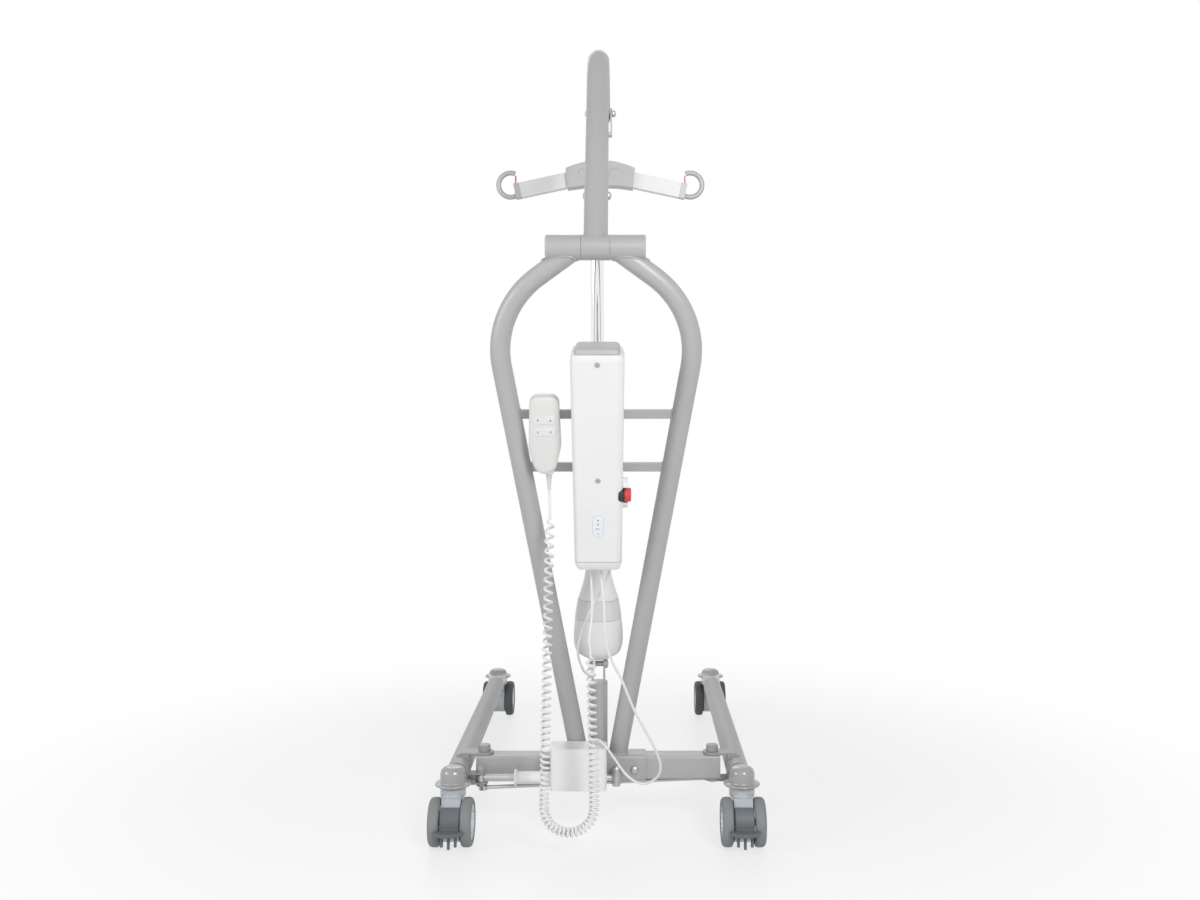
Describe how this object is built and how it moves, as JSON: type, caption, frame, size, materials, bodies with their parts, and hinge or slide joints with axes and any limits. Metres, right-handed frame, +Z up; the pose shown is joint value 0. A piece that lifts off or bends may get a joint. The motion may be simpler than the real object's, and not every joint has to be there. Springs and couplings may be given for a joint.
{
  "type": "patient lift",
  "caption": "Mobile floor hoist: twin-tube mast on a spreading-leg base with braked casters, electric lifting boom with swivelling spreader bar, control box and corded handset.",
  "frame": {"origin": "on the floor, in the middle of the length and the width, without the cords", "axes": "+X to the right seen from behind, +Y forward along the legs, +Z up"},
  "size_m": [0.7246, 1.4244, 1.7051],
  "materials": {
    "frame_paint": "semi-gloss silver-grey powder coat",
    "leg_paint": "semi-gloss grey powder coat",
    "casting_paint": "glossy grey paint",
    "zinc_steel": "zinc plated, satin",
    "chrome_rod": "hard chrome, polished",
    "hook_steel": "satin grey coating",
    "arm_aluminium": "satin anodised",
    "spreader_grey": "moulded, semi-matte",
    "latch_red": "moulded, glossy",
    "cover_white": "moulded, fine texture",
    "cap_grey": "moulded, fine texture",
    "battery_black": "moulded",
    "board_green": "varnished board",
    "display_blue": "printed film",
    "black_plastic": "moulded",
    "stop_red": "moulded, glossy",
    "bush_plastic": "machined",
    "caster_grey": "moulded, glossy",
    "tread_mid": "soft tread, matte",
    "tread_dark": "soft tread, matte",
    "pedal_grey": "moulded, fine texture",
    "handset_shell": "moulded, fine texture",
    "key_grey": "silicone keys",
    "cord_pale": "smooth jacket"
  },
  "bodies": {
    "root": {"base_beam": "frame_paint", "beam_sleeve": "frame_paint", "sleeve_bolts": "zinc_steel", "leg_pivot_pins": "leg_paint", "actuator_post": "frame_paint", "mast_tube_left": "frame_paint", "mast_tube_right": "frame_paint", "cross_bars": "frame_paint", "head_sleeves": "frame_paint", "head_caps": "cap_grey", "hub_shaft": "zinc_steel", "box_brackets": "zinc_steel", "control_box_housing": "cover_white", "control_box_cover": "cover_white", "box_top_cap": "cap_grey", "battery_pack": "battery_black", "control_board": "board_green", "display_panel": "display_blue", "cover_screws": "zinc_steel", "stop_collar": "black_plastic", "cable_glands": "cover_white", "leg_actuator_case": "cover_white", "handset_back": "handset_shell", "handset_front": "handset_shell", "handset_cord_ends": "cord_pale", "handset_cord_coil": "cord_pale", "leg_cable": "cord_pale", "motor_cable": "cord_pale"},
    "stop_button": {"stop_button": "stop_red"},
    "leg_left": {"leg_tube_left": "leg_paint", "leg_castings_left": "casting_paint"},
    "leg_right": {"leg_tube_right": "leg_paint", "leg_castings_right": "casting_paint"},
    "tie_rod": {"tie_rod": "zinc_steel"},
    "leg_rod": {"leg_actuator_rod": "zinc_steel"},
    "boom": {"boom_hub": "frame_paint", "hub_bushes": "bush_plastic", "boom_tube": "frame_paint", "boom_pins": "zinc_steel"},
    "lift_body": {"lift_motor_housing": "cover_white", "lift_tube": "cover_white"},
    "lift_rod": {"lift_rod": "chrome_rod"},
    "hanger": {"hanger": "hook_steel"},
    "spreader": {"spreader_cover": "spreader_grey", "spreader_arms": "arm_aluminium", "spreader_hooks": "hook_steel"},
    "latch_left": {"latch_left": "latch_red"},
    "latch_right": {"latch_right": "latch_red"},
    "rear_caster_left": {"rear_caster_left": "caster_grey"},
    "rear_wheels_left": {"rear_wheels_left": "tread_mid"},
    "brake_pedal_left": {"brake_pedal_left": "pedal_grey"},
    "front_caster_left": {"front_caster_left": "caster_grey"},
    "front_wheels_left": {"front_wheels_left": "tread_dark"},
    "rear_caster_right": {"rear_caster_right": "caster_grey"},
    "rear_wheels_right": {"rear_wheels_right": "tread_mid"},
    "brake_pedal_right": {"brake_pedal_right": "pedal_grey"},
    "front_caster_right": {"front_caster_right": "caster_grey"},
    "front_wheels_right": {"front_wheels_right": "tread_dark"},
    "lift_key": {"lift_key": "key_grey"},
    "leg_key": {"leg_key": "key_grey"}
  },
  "joints": [
    {"name": "stop_press", "type": "slide", "parent": "root", "child": "stop_button", "axis": [-1, 0, 0], "range_m": [0, 0.003], "stiffness_N_per_m": 400},
    {"name": "leg_spread", "type": "hinge", "parent": "root", "child": "leg_left", "pos_m": [-0.248, -0.35575, 0.132], "axis": [0, 0, 1], "range_deg": [0, 11.5]},
    {"name": "leg_right_spread", "type": "hinge", "parent": "root", "child": "leg_right", "pos_m": [0.248, -0.35575, 0.132], "axis": [0, 0, 1], "range_deg": [-11.5, 0]},
    {"name": "tie_rod_turn", "type": "hinge", "parent": "leg_left", "child": "tie_rod", "pos_m": [-0.24737, -0.39175, 0.093], "axis": [0, 0, 1], "range_deg": [-11.74, 0]},
    {"name": "leg_rod_slide", "type": "slide", "parent": "root", "child": "leg_rod", "axis": [1, 0, 0], "range_m": [0, 0.0114]},
    {"name": "boom_lift", "type": "hinge", "parent": "root", "child": "boom", "pos_m": [0, -0.67455, 1.21392], "axis": [1, 0, 0], "range_deg": [-75, 0]},
    {"name": "lift_tilt", "type": "hinge", "parent": "root", "child": "lift_body", "pos_m": [0, -0.35175, 0.352], "axis": [1, 0, 0], "range_deg": [0, 2.6]},
    {"name": "lift_rod_slide", "type": "slide", "parent": "lift_body", "child": "lift_rod", "axis": [0, -0.1636, 0.9865], "range_m": [-0.2467, 0]},
    {"name": "hanger_swing", "type": "hinge", "parent": "boom", "child": "hanger", "pos_m": [0, -0.08758, 1.61934], "axis": [-1, 0, 0], "range_deg": [-80, 15]},
    {"name": "spreader_swivel", "type": "hinge", "parent": "hanger", "child": "spreader", "pos_m": [0, -0.08758, 1.47034], "axis": [0, 0, 1], "continuous": true},
    {"name": "latch_right_open", "type": "hinge", "parent": "spreader", "child": "latch_right", "pos_m": [0.2025, -0.08758, 1.44834], "axis": [0, 1, 0], "range_deg": [0, 40], "stiffness_Nm_per_rad": 0.05},
    {"name": "latch_left_open", "type": "hinge", "parent": "spreader", "child": "latch_left", "pos_m": [-0.2025, -0.08758, 1.44834], "axis": [0, -1, 0], "range_deg": [0, 40], "stiffness_Nm_per_rad": 0.05},
    {"name": "rear_swivel_left", "type": "hinge", "parent": "leg_left", "child": "rear_caster_left", "pos_m": [-0.30214, -0.46271, 0.118], "axis": [0, 0, 1], "continuous": true},
    {"name": "rear_spin_left", "type": "hinge", "parent": "rear_caster_left", "child": "rear_wheels_left", "pos_m": [-0.30214, -0.48771, 0.05], "axis": [1, 0, 0], "continuous": true},
    {"name": "brake_left", "type": "hinge", "parent": "rear_caster_left", "child": "brake_pedal_left", "pos_m": [-0.30214, -0.48771, 0.05], "axis": [1, 0, 0], "range_deg": [0, 8]},
    {"name": "front_swivel_left", "type": "hinge", "parent": "leg_left", "child": "front_caster_left", "pos_m": [-0.31734, 0.63719, 0.118], "axis": [0, 0, 1], "continuous": true},
    {"name": "front_spin_left", "type": "hinge", "parent": "front_caster_left", "child": "front_wheels_left", "pos_m": [-0.31734, 0.66219, 0.05], "axis": [1, 0, 0], "continuous": true},
    {"name": "rear_swivel_right", "type": "hinge", "parent": "leg_right", "child": "rear_caster_right", "pos_m": [0.30214, -0.46271, 0.118], "axis": [0, 0, 1], "continuous": true},
    {"name": "rear_spin_right", "type": "hinge", "parent": "rear_caster_right", "child": "rear_wheels_right", "pos_m": [0.30214, -0.48771, 0.05], "axis": [1, 0, 0], "continuous": true},
    {"name": "brake_right", "type": "hinge", "parent": "rear_caster_right", "child": "brake_pedal_right", "pos_m": [0.30214, -0.48771, 0.05], "axis": [1, 0, 0], "range_deg": [0, 8]},
    {"name": "front_swivel_right", "type": "hinge", "parent": "leg_right", "child": "front_caster_right", "pos_m": [0.31734, 0.63719, 0.118], "axis": [0, 0, 1], "continuous": true},
    {"name": "front_spin_right", "type": "hinge", "parent": "front_caster_right", "child": "front_wheels_right", "pos_m": [0.31734, 0.66219, 0.05], "axis": [1, 0, 0], "continuous": true},
    {"name": "lift_key_rock", "type": "hinge", "parent": "root", "child": "lift_key", "pos_m": [-0.102, -0.6211, 0.88222], "axis": [0, -0.289, 0.9573], "range_deg": [-3, 3], "stiffness_Nm_per_rad": 0.3},
    {"name": "leg_key_rock", "type": "hinge", "parent": "root", "child": "leg_key", "pos_m": [-0.102, -0.61416, 0.85924], "axis": [0, -0.289, 0.9573], "range_deg": [-3, 3], "stiffness_Nm_per_rad": 0.3}
  ],
  "couplings": [
    {"joint": "leg_right_spread", "follows": "leg_spread", "ratio": -1},
    {"joint": "tie_rod_turn", "follows": "leg_spread", "ratio": -1.0167},
    {"joint": "leg_rod_slide", "follows": "leg_spread", "m_per_rad": 0.055988},
    {"joint": "lift_tilt", "follows": "boom_lift", "ratio": -0.03395},
    {"joint": "lift_rod_slide", "follows": "boom_lift", "m_per_rad": 0.18772}
  ]
}
